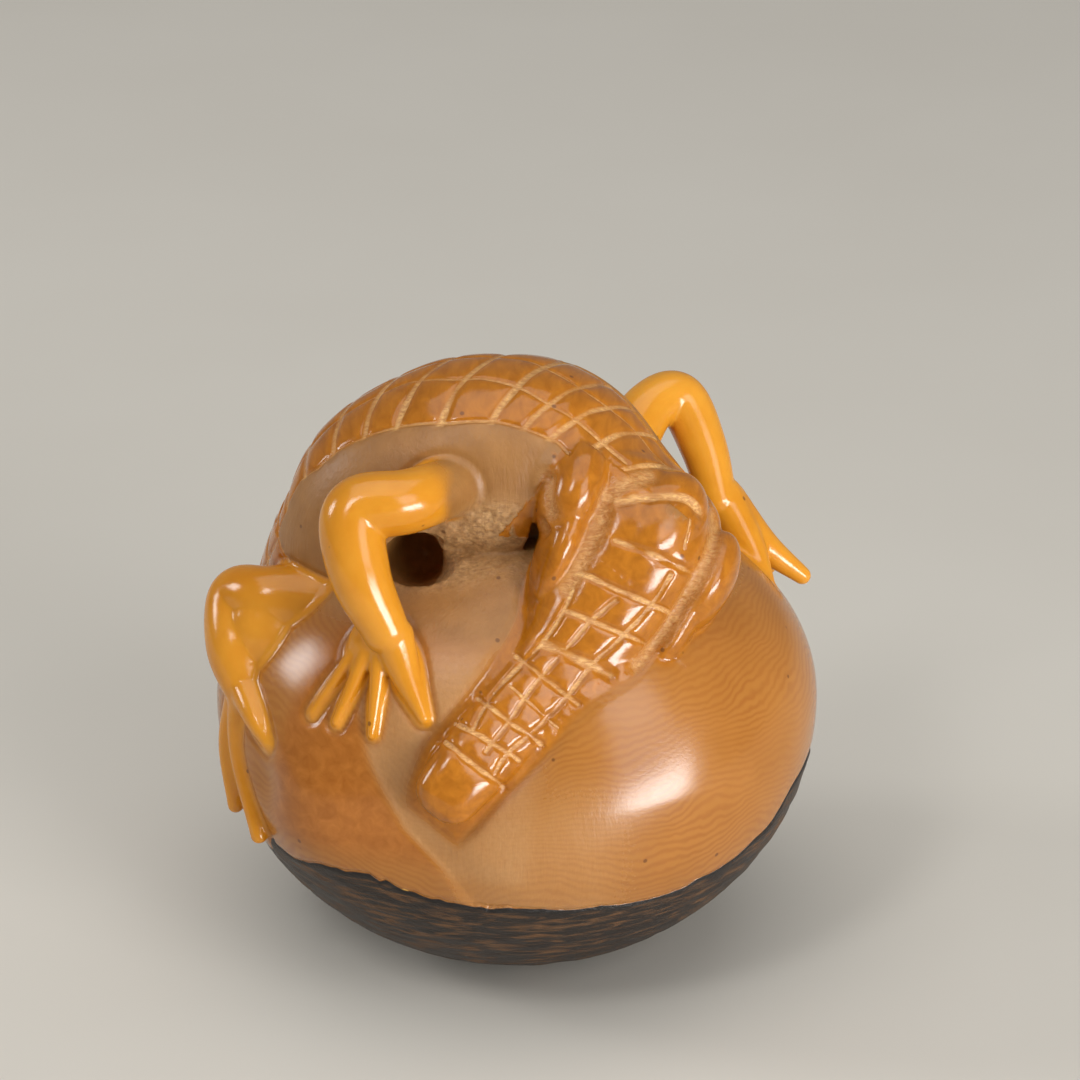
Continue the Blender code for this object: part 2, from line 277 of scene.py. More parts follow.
HEAD_BALLS = {
    "forehead": ((-0.6, 0.0, 4.2), (6.4, 4.2, 4.6), HEAD_AXIS),
    "left_eye": ((0.6, -7.2, 4.2), (4.6, 2.6, 3.8), LEFT_LOBE_AXIS),
    "left_eye_tail": ((4.0, -5.6, 4.2), (6.0, 1.7, 3.4), LEFT_LOBE_AXIS),
    "right_eye": ((-0.6, 6.0, 4.6), (4.8, 2.5, 3.8), RIGHT_LOBE_AXIS),
    "right_eye_tail": ((3.2, 6.3, 4.8), (6.0, 1.7, 3.4), RIGHT_LOBE_AXIS),
    "web_under_jaw": ((10.0, 2.2, 6.4), (10.0, 3.8, 4.6), HEAD_AXIS),
    "web_under_snout": ((17.5, 0.2, 6.0), (8.6, 2.5, 3.2), HEAD_AXIS),
}


# --------------------------------------------------------------------------- limbs
# Each limb is (point, radius) from the trunk to the wrist or ankle, then toes from there.
RIGHT_ARM = [((-3.4, -4.6, 44.2), 2.3), ((-8.6, -10.4, 44.9), 2.65), ((-13.0, -11.4, 44.3), 2.75),
             ((-12.7, -13.6, 40.0), 2.55), ((-10.6, -15.0, 35.4), 1.95)]
RIGHT_FINGERS = [
    [((-10.0, -14.9, 34.8), 1.75), ((-8.9, -16.3, 31.8), 1.25), ((-7.5, -18.2, 29.0), 0.5)],
    [((-11.0, -14.5, 34.0), 0.9), ((-11.4, -16.4, 30.4), 0.62), ((-11.8, -17.9, 27.3), 0.36)],
    [((-11.8, -14.1, 34.0), 0.85), ((-13.4, -15.3, 30.4), 0.6), ((-14.8, -16.2, 27.6), 0.34)],
    [((-12.4, -13.6, 34.0), 0.8), ((-14.7, -14.2, 30.6), 0.5), ((-16.8, -14.6, 27.6), 0.3)],
]
PALM = ((-11.4, -13.3, 33.2), (2.4, 1.9, 2.6))
LEFT_ARM = [((9.0, 8.0, 41.0), 2.7), ((11.4, 11.8, 43.4), 2.3), ((14.0, 13.4, 43.4), 2.3),
            ((16.0, 11.2, 40.0), 2.05), ((17.2, 8.8, 36.2), 1.7)]
LEFT_FINGERS = [
    [((17.6, 9.4, 36.0), 1.9), ((19.8, 7.0, 32.6), 1.5), ((21.6, 4.4, 29.4), 0.7)],
    [((18.0, 9.6, 35.6), 1.8), ((21.2, 8.4, 32.0), 1.35), ((24.6, 8.0, 29.2), 0.8)],
    [((17.8, 10.0, 35.6), 1.7), ((20.0, 11.4, 31.8), 1.3), ((22.0, 12.2, 28.0), 0.6)],
    [((17.4, 10.2, 35.6), 1.5), ((18.0, 13.4, 32.4), 1.1), ((18.6, 15.2, 29.0), 0.6)],
]
RIGHT_LEG = [((-15.0, -3.5, 32.0), 3.8), ((-20.6, -4.2, 33.0), 2.8), ((-23.5, -2.6, 32.2), 2.5),
             ((-23.3, -5.4, 28.8), 2.7), ((-22.5, -8.0, 25.4), 1.6)]
RIGHT_THIGH = ((-21.0, -4.6, 29.8), (3.6, 3.4, 4.6))
RIGHT_TOES = [
    [((-22.6, -8.2, 26.4), 1.4), ((-21.6, -10.8, 25.2), 1.1), ((-20.5, -12.6, 23.8), 0.65)],
    [((-22.9, -7.8, 25.6), 1.3), ((-23.1, -8.9, 21.0), 1.0), ((-21.6, -12.0, 14.6), 0.7)],
    [((-23.2, -6.6, 25.2), 1.3), ((-24.2, -6.4, 20.4), 1.0), ((-23.8, -7.6, 15.2), 0.7)],
]
LEFT_LEG = [((-14.0, 8.0, 34.0), 3.6), ((-12.0, 14.6, 35.4), 2.8), ((-9.6, 17.6, 33.6), 2.3),
            ((-8.6, 19.0, 29.6), 2.3), ((-7.4, 20.4, 26.2), 1.6)]
LEFT_TOES = [
    [((-7.4, 20.2, 26.4), 1.4), ((-5.0, 20.8, 24.8), 1.0), ((-2.4, 21.4, 23.4), 0.5)],
    [((-7.4, 20.2, 26.0), 1.4), ((-6.6, 21.4, 23.6), 1.0), ((-5.8, 22.2, 21.6), 0.5)],
    [((-7.8, 20.2, 26.0), 1.3), ((-8.8, 21.4, 24.0), 1.0), ((-9.4, 22.2, 22.4), 0.5)],
]
LIMBS = [RIGHT_ARM, LEFT_ARM, RIGHT_LEG, LEFT_LEG]
DIGITS = RIGHT_FINGERS + LEFT_FINGERS + RIGHT_TOES + LEFT_TOES

# The hollow cut between the flank and the nut, deepest behind the bent arm.
HOLLOW = [((-7.6, 0.4, 35.0), 0.3), ((-8.0, -1.4, 35.8), 1.9), ((-8.4, -4.4, 37.2), 2.5),
          ((-8.2, -7.2, 38.0), 2.5), ((-6.0, -8.8, 38.9), 1.7), ((-4.2, -9.2, 39.6), 0.4)]


def limb_path(stations):
    return spline([[*point, radius] for point, radius in stations], SPAN_STEPS)


def tube(stations):
    """A round tube through the stations."""
    path = limb_path(stations)
    middle, radius = path[:, :3], path[:, 3:]
    ahead = unit(np.gradient(middle, axis=0))
    level = np.eye(3)[np.argmin(np.max(np.abs(ahead), axis=0))]
    side = unit(np.cross(ahead, level))
    up = np.cross(side, ahead)
    turn = np.linspace(0, 2 * math.pi, RING_POINTS, endpoint=False)
    rings = [m + r * (np.outer(np.cos(turn), s) + np.outer(np.sin(turn), u))
             for m, r, s, u in zip(middle, radius, side, up)]
    ends = [np.tile(middle[end], (RING_POINTS, 1)) for end in (0, -1)]
    return np.array([ends[0], *rings, ends[1]])


def limb_skins():
    made = [ellipsoid(*PALM), ellipsoid(*RIGHT_THIGH)]
    for stations in LIMBS + DIGITS:
        made.append(tube(stations))
        made += [ellipsoid(point, (radius,) * 3) for point, radius in (stations[0], stations[-1])]
    return made


# ---------------------------------------------------------------------- joined shape


def skins_object(name, skins):
    """One object that holds the skins, each facing outward."""
    vertices, faces, start = [], [], 0
    for skin in skins:
        rows, columns, _ = skin.shape
        i = np.arange(rows - 1)[:, None] * columns
        j = np.arange(columns)[None, :]
        k = (j + 1) % columns
        quads = np.stack([i + j, i + columns + j, i + columns + k, i + k], axis=-1).reshape(-1, 4)
        points = skin.reshape(-1, 3)
        a, b, c, d = (points[quads[:, n]] - points.mean(axis=0) for n in range(4))
        if np.sum(np.cross(c - a, d - b) * (a + b + c + d)) < 0:
            quads = quads[:, ::-1]
        vertices.append(points)
        faces.append(quads + start)
        start += len(points)
    return mesh_object(name, np.vstack(vertices), np.vstack(faces))


def mesh_object(name, vertices, faces):
    mesh = bpy.data.meshes.new(name)
    sides = faces.shape[1]
    mesh.vertices.add(len(vertices))
    mesh.vertices.foreach_set("co", np.asarray(vertices, np.float32).ravel())
    mesh.loops.add(faces.size)
    mesh.loops.foreach_set("vertex_index", faces.astype(np.int32).ravel())
    mesh.polygons.add(len(faces))
    mesh.polygons.foreach_set("loop_start", np.arange(0, faces.size, sides, dtype=np.int32))
    mesh.update(calc_edges=True)
    made = bpy.data.objects.new(name, mesh)
    bpy.context.scene.collection.objects.link(made)
    return made


def remesh(target):
    step = target.modifiers.new("join", "REMESH")
    step.mode = "VOXEL"
    step.voxel_size = VOXEL


def apply_modifiers(target):
    """Replaces the object's mesh by what its modifiers make of it."""
    graph = bpy.context.evaluated_depsgraph_get()
    made = bpy.data.meshes.new_from_object(target.evaluated_get(graph))
    target.modifiers.clear()
    old, target.data = target.data, made
    bpy.data.meshes.remove(old)


def joined_shape(trunk):
    skins = [nut(), trunk.skin()]
    for centre, radii, forward in HEAD_BALLS.values():
        skins.append(ellipsoid(head_point(*centre), radii, forward, HEAD_UP))
    made = skins_object(NODE + "_skin", skins + limb_skins())
    remesh(made)
    cutter = skins_object("hollow_cutter", [tube(HOLLOW)])
    remesh(cutter)
    cut = made.modifiers.new("hollow", "BOOLEAN")
    cut.operation = "DIFFERENCE"
    cut.object = cutter
    remesh(made)
    soften = made.modifiers.new("soften", "SMOOTH")
    soften.factor = 0.5
    soften.iterations = SOFTENING
    apply_modifiers(made)
    bpy.data.objects.remove(cutter)
    return made


# ------------------------------------------------------------------------- the marks

# Lines along the back, as (angle round the dome, angle toward the front) in degrees. The
# first edges the plates toward the front; the next two run along either side of the spine.
BACK_EDGE = [(12.0, 12.0), (22.0, 14.5), (32.5, 16.6), (39.3, 25.8), (45.6, 27.1), (55.9, 31.5),
             (65.5, 36.0), (79.3, 43.4), (92.2, 44.3), (102.4, 47.6), (109.9, 49.7), (114.9, 55.6)]
BACK_FRONT_ROW = [(12.0, -4.0), (45.0, -2.0), (66.8, 0.0), (73.6, 5.7), (82.0, 13.2), (88.5, 14.5),
                  (96.9, 20.4), (105.1, 29.3), (113.0, 33.8), (122.6, 40.6), (129.6, 45.7)]
BACK_REAR_ROW = [(12.0, -20.0), (45.0, -20.0), (75.0, -18.0), (97.7, -11.2), (105.3, -0.8),
                 (113.7, 8.5), (122.0, 11.1), (131.4, 14.1), (139.9, 29.6)]
BACK_FAR_EDGE = [(12.0, -36.0), (45.0, -46.0), (75.0, -52.0), (98.0, -45.0), (114.0, -26.0),
                 (130.0, -12.0), (142.0, 4.0)]
# Scores across the back: angle round the dome where it crosses 10 degrees, and its slant.
BACK_SCORES = [(23.0, -0.10), (35.0, -0.10), (47.5, -0.15), (58.9, -0.19), (71.5, -0.27),
               (85.3, -0.26), (100.0, -0.26), (112.2, -0.33), (122.0, -0.36), (133.0, -0.37),
               (151.0, -0.54)]
BACK_START = 14.0
SCORE_WIDTH = 0.85
ROW_WIDTH = 0.42

# How deep the marks are cut and how far plates and rough places stand out.
SCORE_DEPTH = 0.24
PLATE_RISE = 0.06
PLATES_SUNK = 0.12
HEAD_PLATE_RISE = 0.04
BAND_ROUGHNESS = 0.05
LIMB_TRENCH = 0.16
SNOUT_TRENCH = 0.2
SOCKET_DEPTH = 0.5
RIM_NOTCH = 0.16
HUSK_ROUGHNESS = 0.07
VALLEY_DEPTH = 0.30

# Strokes on the head, as (along, across) from the forehead, with width and depth.
HEAD_STROKES = {
    "nape": ([(-0.8, -4.2), (-2.7, -2.4), (-4.4, -0.2), (-4.5, 2.0)], 0.95, 0.34),
    "brow": ([(2.0, -2.5), (1.0, 0.8), (-0.2, 4.5)], 0.6, 0.24),
    "bar_1": ([(5.8, -3.1), (4.8, 0.8), (3.5, 5.0)], 0.5, 0.28),
    "bar_2": ([(8.9, -1.9), (7.8, 1.7), (6.6, 5.6)], 0.5, 0.28),
    "bar_3": ([(12.1, -1.6), (11.4, 1.2), (10.6, 4.1)], 0.95, 0.34),
    "bar_4": ([(14.3, -2.7), (14.3, 0.4), (14.2, 3.5)], 0.5, 0.28),
    "bar_5": ([(16.6, -1.8), (16.8, 3.4)], 0.3, 0.10),
    "bar_6": ([(18.9, -3.0), (18.9, -0.1), (18.6, 3.2)], 0.5, 0.28),
    "bar_7": ([(21.6, -3.0), (20.8, 2.6)], 0.5, 0.28),
    "bar_8": ([(23.4, -3.0), (23.5, -0.2), (23.2, 3.2)], 0.5, 0.30),
    "left_row": ([(5.8, -3.1), (8.6, -2.2), (11.8, -1.8), (14.9, -2.1), (18.3, -2.4),
                  (21.3, -2.0)], 0.4, 0.22),
    "middle_row": ([(5.7, 0.6), (8.3, 0.1), (10.9, 0.0), (13.3, -0.2), (15.4, -0.3), (19.5, -0.1),
                    (22.0, -0.1)], 0.4, 0.22),
    "right_row": ([(1.3, 2.9), (4.3, 3.2), (7.9, 2.9), (10.9, 2.5), (14.0, 2.4), (16.4, 2.2),
                   (18.1, 2.1), (21.1, 1.4), (22.9, 1.6)], 0.45, 0.24),
    "nick": ([(-3.2, 1.4), (-1.1, 2.4)], 0.3, 0.12),
}
# Rough bands beside the eyes, cut down to their bed.
HEAD_BANDS = {
    "beside_left_eye": ([(-4.2, -3.4), (-1.0, -5.0), (1.8, -4.1), (4.6, -3.5), (7.4, -3.0)],
                        1.3, 0.30),
    "beside_right_eye": ([(-5.4, 3.4), (-2.4, 4.6), (1.8, 5.3), (4.8, 5.7), (8.6, 5.6)],
                         1.3, 0.35),
}


def line_distance(u, v, line, u_scale=1.0, v_scale=1.0):
    """Distance from each (u, v) to a smooth line, with u and v scaled to millimetres."""
    line = spline(line, 4)
    best = np.full(u.shape, np.inf)
    for (ua, va), (ub, vb) in zip(line, line[1:]):
        du, dv = (ub - ua) * u_scale, (vb - va) * v_scale
        pu, pv = (u - ua) * u_scale, (v - va) * v_scale
        t = np.clip((pu * du + pv * dv) / (du * du + dv * dv), 0.0, 1.0)
        best = np.minimum(best, np.hypot(pu - t * du, pv - t * dv))
    return best


def interpolate(line, at):
    """The second number of a line at this value of the first."""
    first, second = np.transpose(line)
    return np.interp(at, first, second)


def space_line_distance(points, line):
    """Distance from each point to the straight pieces of a line in space."""
    best = np.full(len(points), np.inf)
    for a, b in zip(line, line[1:]):
        along = b - a
        t = np.clip((points - a) @ along / (along @ along), 0.0, 1.0)
        best = np.minimum(best, np.linalg.norm(points - a - t[:, None] * along, axis=1))
    return best


# Where the right arm's polish fades into the flank.
SHOULDER = np.array((-3.2, -8.6, 45.0))

# The rough bed of the hollow, from the shoulder to the left eye.
HOLLOW_FLOOR = np.array(((-8.2, -7.2, 38.0), (-5.5, -8.6, 39.5), (-2.0, -8.8, 41.0),
                         (1.6, -9.6, 40.6)))

# The husk's rim: (degrees from the front toward the right, height), round the whole nut.
RIM = [(-180, 14.5), (-150, 15.8), (-120, 13.6), (-95, 12.6), (-80, 11.4), (-65, 11.6), (-61, 14.1),
       (-52, 13.8), (-43, 14.9), (-37, 14.9), (-32, 15.1), (-30, 14.7), (-28.5, 14.9), (-25, 14.1),
       (-19, 13.8), (-12, 13.5), (1, 13.35), (18, 12.9), (30, 12.65), (42, 13.2), (53, 14.0),
       (62, 15.3), (68, 17.5), (82, 18.6), (100, 17.2), (125, 15.0), (150, 15.6), (180, 14.5)]
# The ridge between the polished bulge and the scraped valley: (height, degrees).
RIDGE = [(12.0, -8.0), (16.8, -16.0), (19.7, -25.0), (25.2, -34.0), (32.1, -43.0), (36.0, -46.0)]

# The left eye's socket and the drilled pit below it, as lines in space with their widths.
EYE_SOCKETS = [
    (np.array(((2.6, -8.3, 46.0), (2.9, -9.2, 44.8), (3.0, -10.2, 43.8))), 1.5),
    (np.array(((2.2, -9.9, 42.6), (2.4, -10.3, 42.2))), 1.0),
]


class Skin:
    """Every coordinate of the surface's points that the marks and the finish are worked out in."""

    def __init__(self, trunk, points, normals):
        self.points = points
        x, y, z = points.T
        self.azimuth = np.degrees(np.arctan2(x, -y))
        self.rim = interpolate(RIM, self.azimuth) - z
        self.rim += 0.22 * noise(points * (1, 1, 0), 2.2) + 0.10 * noise(points * (1, 1, 0), 0.7)

        over, front, rise = x - DOME_CENTRE[0], DOME_CENTRE[1] - y, z - DOME_CENTRE[2]
        self.round_radius = np.hypot(over, rise)
        self.theta = np.degrees(np.arctan2(rise, -over))
        self.phi = np.degrees(np.arctan2(front, self.round_radius - BACK_RING))
        self.lift = np.hypot(front, self.round_radius - BACK_RING)

        ahead = points - FOREHEAD
        self.along, self.across, self.drop = ahead @ HEAD_AXIS, ahead @ HEAD_SIDE, -ahead @ HEAD_UP
        self.facing_up = normals @ HEAD_UP

        self.eyes = np.zeros(len(points))
        for name, (centre, radii, forward) in HEAD_BALLS.items():
            if "eye" in name:
                inside = self.reach_of(head_point(*centre), radii, forward)
                self.eyes = np.maximum(self.eyes, smoothstep(1.16, 1.06, inside))
        self.socket = np.zeros(len(points))
        for line, width in EYE_SOCKETS:
            self.socket = np.maximum(self.socket, bell(space_line_distance(points, line), width))
        self.nearest_on(trunk)
        self.limb_gap = self.gap_to_limbs(LIMBS + DIGITS)

    def reach_of(self, centre, radii, forward):
        """How far out each point is from a stretched ball on the head, 1 on its skin."""
        x = unit(forward)
        z = unit(HEAD_UP - x * (HEAD_UP @ x))
        offset = self.points - centre
        return np.linalg.norm(offset @ np.array((x, np.cross(z, x), z)).T / radii, axis=1)

    def nearest_on(self, trunk):
        """Distance along the trunk, sideways and upward from its middle, and off its skin."""
        rows = np.arange(0, len(trunk.middle), 3)
        best = np.full(len(self.points), np.inf)
        row = np.zeros(len(self.points), int)
        for index in rows:
            away = np.sum((self.points - trunk.middle[index]) ** 2, axis=1)
            closer = away < best
            best[closer] = away[closer]
            row[closer] = index
        offset = self.points - trunk.middle[row]
        shift = np.sum(offset * trunk.ahead[row], axis=1)
        self.trunk_length = trunk.length[row] + shift
        self.side = np.sum(offset * trunk.across[row], axis=1)
        self.rise = np.sum(offset * trunk.up[row], axis=1)
        width, thickness, squareness = (
            np.interp(self.trunk_length, trunk.length, column) for column in trunk.size.T
        )
        self.width = width
        reach = (np.abs(self.side / width) ** squareness
                 + np.abs(2 * self.rise / thickness) ** squareness) ** (1 / squareness)
        self.trunk_gap = (reach - 1) * np.minimum(width, thickness / 2)
        past = np.maximum(-self.trunk_length, self.trunk_length - trunk.length[-1])
        self.trunk_gap = np.maximum(self.trunk_gap, past - TIP_REACH)
        self.before_hip = trunk.hip - self.trunk_length

    def gap_to_limbs(self, limbs):
        """Distance off the nearest limb's skin, for points near one."""
        gap = np.full(len(self.points), 9.0)
        for stations in limbs:
            path = limb_path(stations)
            reach = path[:, 3].max() + 2.0
            near = np.all((self.points > path[:, :3].min(axis=0) - reach)
                          & (self.points < path[:, :3].max(axis=0) + reach), axis=1)
            close = self.points[near]
            best = np.full(len(close), 9.0)
            for x, y, z, radius in path:
                best = np.minimum(best, np.linalg.norm(close - (x, y, z), axis=1) - radius)
            gap[near] = np.minimum(gap[near], best)
        for centre, radii in (PALM, RIGHT_THIGH):
            reach = np.linalg.norm((self.points - centre) / radii, axis=1)
            gap = np.minimum(gap, (reach - 1.08) * min(radii))
        return gap


def back_marks(skin):
    """(score, distance to the nearest score, plated) on the back, from the hip to the neck."""
    u_scale = skin.round_radius * math.pi / 180
    v_scale = skin.lift * math.pi / 180
    wander = 0.5 * noise(skin.points, 3.0)
    theta, phi = skin.theta + wander, skin.phi + wander
    on_back = (smoothstep(BACK_START, BACK_START + 1.0, skin.theta)
               * (skin.theta < 152) * (skin.points[:, 2] > 33) * (skin.lift > 5.5)
               * ((skin.along < -3.2) | (np.abs(skin.across) > 9.5)) * (skin.limb_gap > 0.1))
    outside = np.maximum((skin.phi - interpolate(BACK_EDGE, theta)) * v_scale,
                         (interpolate(BACK_FAR_EDGE, theta) - skin.phi) * v_scale)
    plated = on_back * smoothstep(0.35, -0.15, outside)
    rows = np.minimum(line_distance(theta, phi, BACK_FRONT_ROW, u_scale, v_scale),
                      line_distance(theta, phi, BACK_REAR_ROW, u_scale, v_scale))
    edge = np.abs(outside)
    scores = np.full(len(theta), np.inf)
    for at, slant in BACK_SCORES:
        scores = np.minimum(scores, np.abs(theta - at - slant * (phi - 10.0)) * u_scale)
    scores = np.maximum(scores, outside)
    wear = 0.75 + 0.35 * noise(skin.points + 40.0, 2.5)
    score = np.maximum(bell(scores, SCORE_WIDTH), 0.85 * bell(np.minimum(rows, edge), ROW_WIDTH))
    return score * on_back * wear, np.minimum(np.minimum(scores, rows), edge), plated


TAIL_PITCH = 4.4
TAIL_EDGE = 0.86
TAIL_ROW = 0.34


def tail_marks(skin):
    """(score, distance to the nearest score, plated) from the tail's tip to the hip."""
    on_tail = ((skin.before_hip > 0) * smoothstep(0.9, 0.3, skin.trunk_gap)
               * smoothstep(0.0, 0.8, skin.rise) * (skin.limb_gap > 0.1))
    pitch = TAIL_PITCH * (0.62 + 0.38 * smoothstep(30.0, 0.0, skin.before_hip))
    across = np.abs((skin.before_hip / pitch + 0.5) % 1.0 - 0.5) * pitch
    share = skin.side / skin.width
    rows = np.abs(np.abs(share) - TAIL_ROW) * skin.width
    outside = (np.abs(share) - TAIL_EDGE) * skin.width
    distance = np.minimum(np.maximum(across, outside), np.minimum(rows, np.abs(outside)))
    score = np.maximum(bell(np.maximum(across, outside), SCORE_WIDTH * 0.9),
                       0.85 * bell(np.minimum(rows, np.abs(outside)), ROW_WIDTH))
    return score * on_tail, distance, on_tail * smoothstep(0.3, -0.1, outside)


def head_marks(skin):
    """(groove depth, score, distance to the nearest stroke, plated, rough band) on the head."""
    reach = np.where(skin.along > 6, 6.6, 9.5)
    top = (smoothstep(4.8, 3.8, skin.drop) * (skin.along > -6.5)
           * smoothstep(0.05, 0.35, skin.facing_up)
           * smoothstep(reach, reach - 1, np.abs(skin.across)))
    top = top * smoothstep(1.0, 0.5, skin.trunk_gap * (skin.along > 6))
    wander = 0.06 * noise(skin.points + 9.0, 0.8)
    along, across = skin.along + wander, skin.across + wander
    depth = np.zeros(len(along))
    score = np.zeros(len(along))
    distance = np.full(len(along), np.inf)
    for line, width, deep in HEAD_STROKES.values():
        away = line_distance(along, across, line)
        score = np.maximum(score, bell(away, width))
        depth = np.maximum(depth, deep * bell(away, width))
        distance = np.minimum(distance, away)
    band = np.zeros(len(along))
    for line, width, deep in HEAD_BANDS.values():
        away = line_distance(along, across, line)
        band = np.maximum(band, bell(away, width))
        depth = np.maximum(depth, deep * bell(away, width))
    score = score * (0.80 + 0.5 * noise(skin.points + 21.0, 1.3))
    return depth * top, score * top, distance, top, band * top


def relief(skin):
    """How far each point of the surface moves outward, in millimetres."""
    score, distance, plated = back_marks(skin)
    moved = plated * PLATE_RISE * (1 - bell(distance, 1.7)) - PLATES_SUNK * plated
    moved -= SCORE_DEPTH * score
    score, distance, plated = tail_marks(skin)
    moved += plated * PLATE_RISE * (1 - bell(distance, 1.5)) - 0.9 * SCORE_DEPTH * score
    depth, _, distance, plated, band = head_marks(skin)
    moved += plated * (skin.along > 4) * HEAD_PLATE_RISE * (1 - bell(distance, 1.3)) - depth
    moved += BAND_ROUGHNESS * band * noise(skin.points, 0.45)

    # a clean cut beside each limb and the snout, where the nut meets it
    beside = np.exp(-(((skin.limb_gap - 0.5) / 0.3) ** 2))
    moved -= LIMB_TRENCH * beside
    snout = (smoothstep(6.0, 11.0, skin.along) * smoothstep(7.0, 5.5, np.abs(skin.across))
             * np.exp(-(((skin.trunk_gap - 0.6) / 0.35) ** 2)) * (skin.drop < 7))
    moved -= SNOUT_TRENCH * snout
    moved -= SOCKET_DEPTH * skin.socket

    bed = 0.16 * noise(skin.points, 1.1) + 0.10 * noise(skin.points, 0.4)
    moved += finish_masks(skin)["rough"] * bed
    moved -= RIM_NOTCH * np.exp(-((skin.rim / 0.22) ** 2))
    moved += HUSK_ROUGHNESS * smoothstep(0.1, 0.5, skin.rim) * noise(skin.points * (0.5, 0.5, 1.6), 0.9)
    ridge = skin.azimuth - interpolate(RIDGE, skin.points[:, 2])
    moved -= VALLEY_DEPTH * smoothstep(-1.0, 2.5, ridge) * smoothstep(16, 3, ridge) * nut_front(skin)
    return moved


def nut_front(skin):
    """The nut's bare front, away from limbs and head."""
    return ((skin.points[:, 1] < 0) * (skin.rim < 0) * smoothstep(0.4, 1.0, skin.limb_gap)
            * smoothstep(0.5, 1.2, np.where(skin.along > -6, skin.trunk_gap, 9.0))
            * smoothstep(36, 31, skin.points[:, 2]))


def finish_masks(skin):
    """Shares of each finish, from 0 to 1, for every point."""
    back_score, _, back_plated = back_marks(skin)
    tail_score, _, tail_plated = tail_marks(skin)
    _, head_score, _, _, band = head_marks(skin)
    z = skin.points[:, 2]
    shoulder = np.linalg.norm(skin.points - SHOULDER, axis=1) + 0.8 * noise(skin.points, 1.5)
    limb = smoothstep(0.55, 0.15, skin.limb_gap) * smoothstep(2.6, 5.2, shoulder)
    reach = np.where(skin.across > 3.5, 3.6, 6.5)
    head = ((skin.along > -6.5) * (skin.drop < np.where(skin.along > 7, reach, 6.5))
            * (np.abs(skin.across) < 9.5) * smoothstep(0.75, 0.3, skin.trunk_gap))
    amber = np.clip(np.maximum.reduce([back_plated, tail_plated, head, skin.eyes]), 0, 1)
    amber *= 1 - limb * (skin.trunk_gap > 0.2)
    hollow = np.exp(-((space_line_distance(skin.points, HOLLOW_FLOOR) / 3.0) ** 4)) * (1 - limb)
    hollow *= 1 - amber
    ridge = skin.azimuth - interpolate(RIDGE, z)
    bulge = (smoothstep(1.0, -1.5, ridge) * smoothstep(-57, -52, skin.azimuth)
             * smoothstep(15.5, 18.5, z) * nut_front(skin))
    valley = (smoothstep(-0.5, 1.5, ridge) * smoothstep(12, -2, skin.azimuth)
              * smoothstep(14, 17, z) * nut_front(skin))
    below_snout = (0.55 * smoothstep(-20, -8, skin.azimuth) * smoothstep(34, 14, skin.azimuth)
                   * smoothstep(27, 21, z) * nut_front(skin))
    valley = np.maximum(valley, below_snout)
    flank = smoothstep(33, 35, z) * (1 - amber) * (1 - limb)
    return {
        "score": np.clip(np.maximum.reduce([back_score, tail_score, head_score]), 0, 1),
        "band": np.clip(np.maximum(band, skin.socket), 0, 1),
        "limb": limb,
        "amber": amber,
        "rough": np.clip(hollow, 0, 1),
        "bulge": bulge,
        "valley": valley,
        "flank": flank,
        "rim": skin.rim,
    }


def surface(made):
    """Positions and normals of an object's points."""
    count = len(made.data.vertices)
    points, normals = np.empty(count * 3), np.empty(count * 3)
    made.data.vertices.foreach_get("co", points)
    made.data.vertex_normals.foreach_get("vector", normals)
    return points.reshape(-1, 3), normals.reshape(-1, 3)


def carving():
    trunk = Trunk()
    made = joined_shape(trunk)
    points, normals = surface(made)
    points = points + normals * relief(Skin(trunk, points, normals))[:, None]
    points[:, 2] = np.maximum(points[:, 2], 0.0)
    made.data.vertices.foreach_set("co", points.astype(np.float32).ravel())
    made.data.update()

    thin = made.modifiers.new("thin", "DECIMATE")
    thin.ratio = TRIANGLES / sum(len(face.vertices) - 2 for face in made.data.polygons)
    apply_modifiers(made)

    points, normals = surface(made)
    for name, share in finish_masks(Skin(trunk, points, normals)).items():
        layer = made.data.attributes.new(name, "FLOAT", "POINT")
        layer.data.foreach_set("value", share.astype(np.float32))
    made.data.vertices.foreach_set("co", (points * MM).astype(np.float32).ravel())
    made.data.polygons.foreach_set("use_smooth", np.ones(len(made.data.polygons), bool))
    made.data.update()
    made.name = "caiman_and_nut"
    made.data.materials.append(tagua())
    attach(made, "root")
    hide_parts(NODE)


# ------------------------------------------------------------------------- materials


def srgb(red, green, blue):
    """A colour as seen on a screen, 0 to 255, turned into the renderer's linear numbers."""
    return tuple(((c / 255 + 0.055) / 1.055) ** 2.4 for c in (red, green, blue)) + (1.0,)


